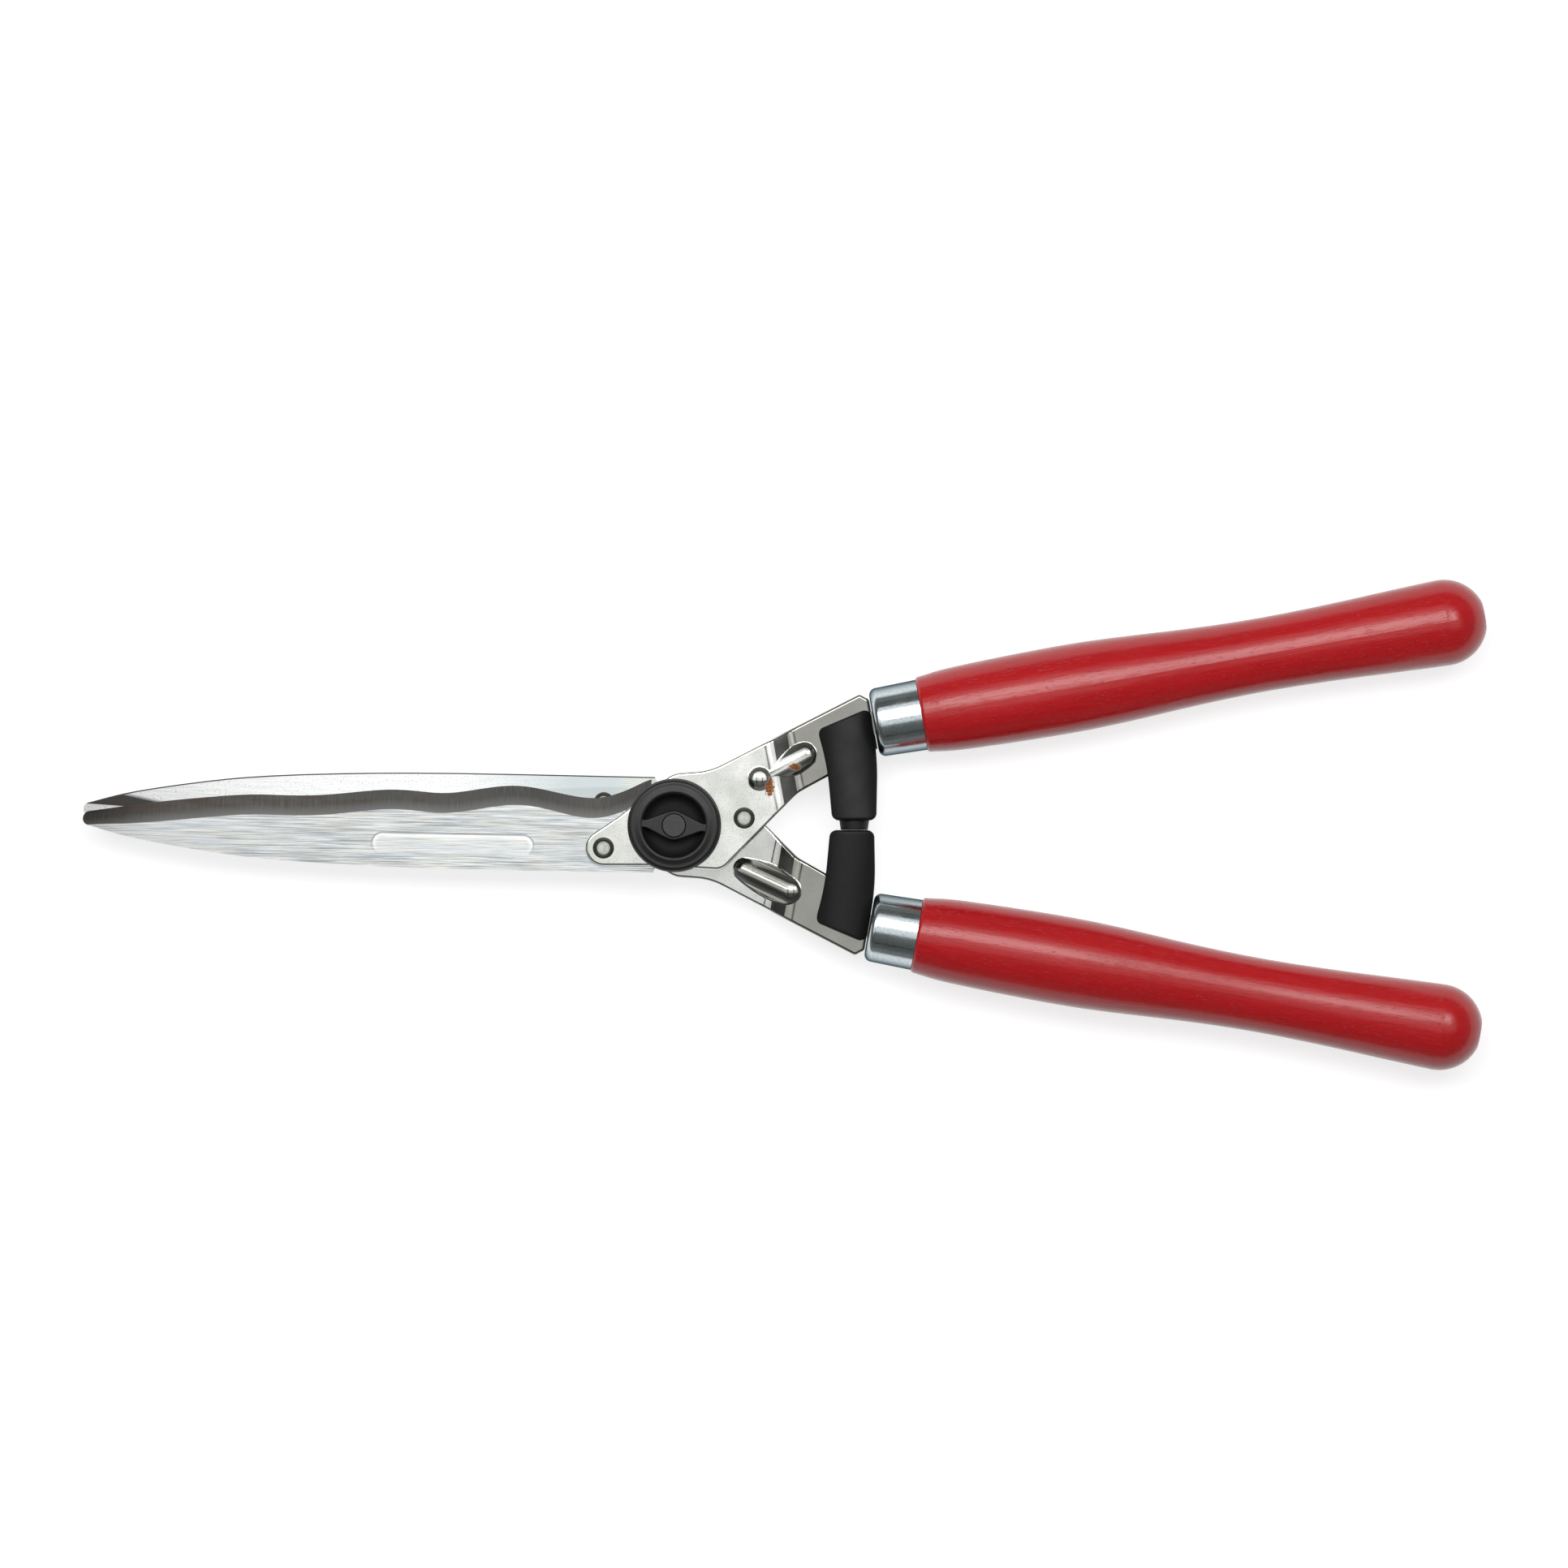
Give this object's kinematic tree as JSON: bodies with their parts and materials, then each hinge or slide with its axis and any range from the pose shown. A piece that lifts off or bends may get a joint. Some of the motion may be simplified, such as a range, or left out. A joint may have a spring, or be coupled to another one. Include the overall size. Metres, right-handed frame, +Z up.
{
  "type": "hedge shears",
  "caption": "Hand hedge shears with wavy blades, joggled steel brackets, stop shoes, turned wooden handles and an adjusting knob at the pivot.",
  "frame": {"origin": "centre of the bottom face of the whole object's box, closed, lying flat", "axes": "+X from the blades' tips to the handles' ends, +Z up, along the pivot, towards the knob"},
  "size_m": [0.5396, 0.1886, 0.038],
  "materials": {
    "blade_steel": "ground lengthwise, bevel ground across",
    "bracket_plate": "stamped and nickel-plated, bright",
    "rivet_steel": "flush ground rivets",
    "zinc_ferrule": "drawn, bright zinc plate with a cold tint",
    "painted_wood": "beech, red gloss paint over visible grain",
    "shoe_plastic": "moulded, fine matt texture",
    "buffer_rubber": "soft black rubber",
    "bolt_steel": "turned, zinc-plated",
    "washer_plastic": "black sliding washer",
    "spring_steel": "hardened",
    "knob_plastic": "moulded, fine matt texture",
    "nut_brass": "turned"
  },
  "bodies": {
    "rear_arm": {"rear_blade": "blade_steel", "rear_bracket": "bracket_plate", "rear_blade_rivets": "rivet_steel", "rear_ferrule": "zinc_ferrule", "rear_handle": "painted_wood", "rear_bumper": "shoe_plastic", "pivot_bush": "bolt_steel"},
    "front_arm": {"front_blade": "blade_steel", "front_bracket": "bracket_plate", "front_blade_rivets": "rivet_steel", "front_ferrule": "zinc_ferrule", "front_handle": "painted_wood", "front_bumper": "shoe_plastic", "rubber_buffer": "buffer_rubber", "pivot_bolt": "bolt_steel", "friction_washer": "washer_plastic", "disc_spring": "spring_steel"},
    "washer": {"thrust_washer": "spring_steel"},
    "knob": {"knob_body": "knob_plastic", "knob_nut": "nut_brass", "knob_cap": "knob_plastic"}
  },
  "joints": [
    {"name": "blade_pivot", "type": "hinge", "parent": "rear_arm", "child": "front_arm", "pos_m": [-0.04239, -0.00016, 0.01701], "axis": [0, 0, 1], "range_deg": [0, 80]},
    {"name": "washer_lift", "type": "slide", "parent": "front_arm", "child": "washer", "axis": [0, 0, 1], "range_m": [0, 0.00125]},
    {"name": "knob_turn", "type": "hinge", "parent": "washer", "child": "knob", "pos_m": [-0.04239, -0.00016, 0.01701], "axis": [0, 0, 1], "range_deg": [0, 360]}
  ],
  "couplings": [
    {"joint": "knob_turn", "follows": "washer_lift", "rad_per_m": 5026.5}
  ]
}
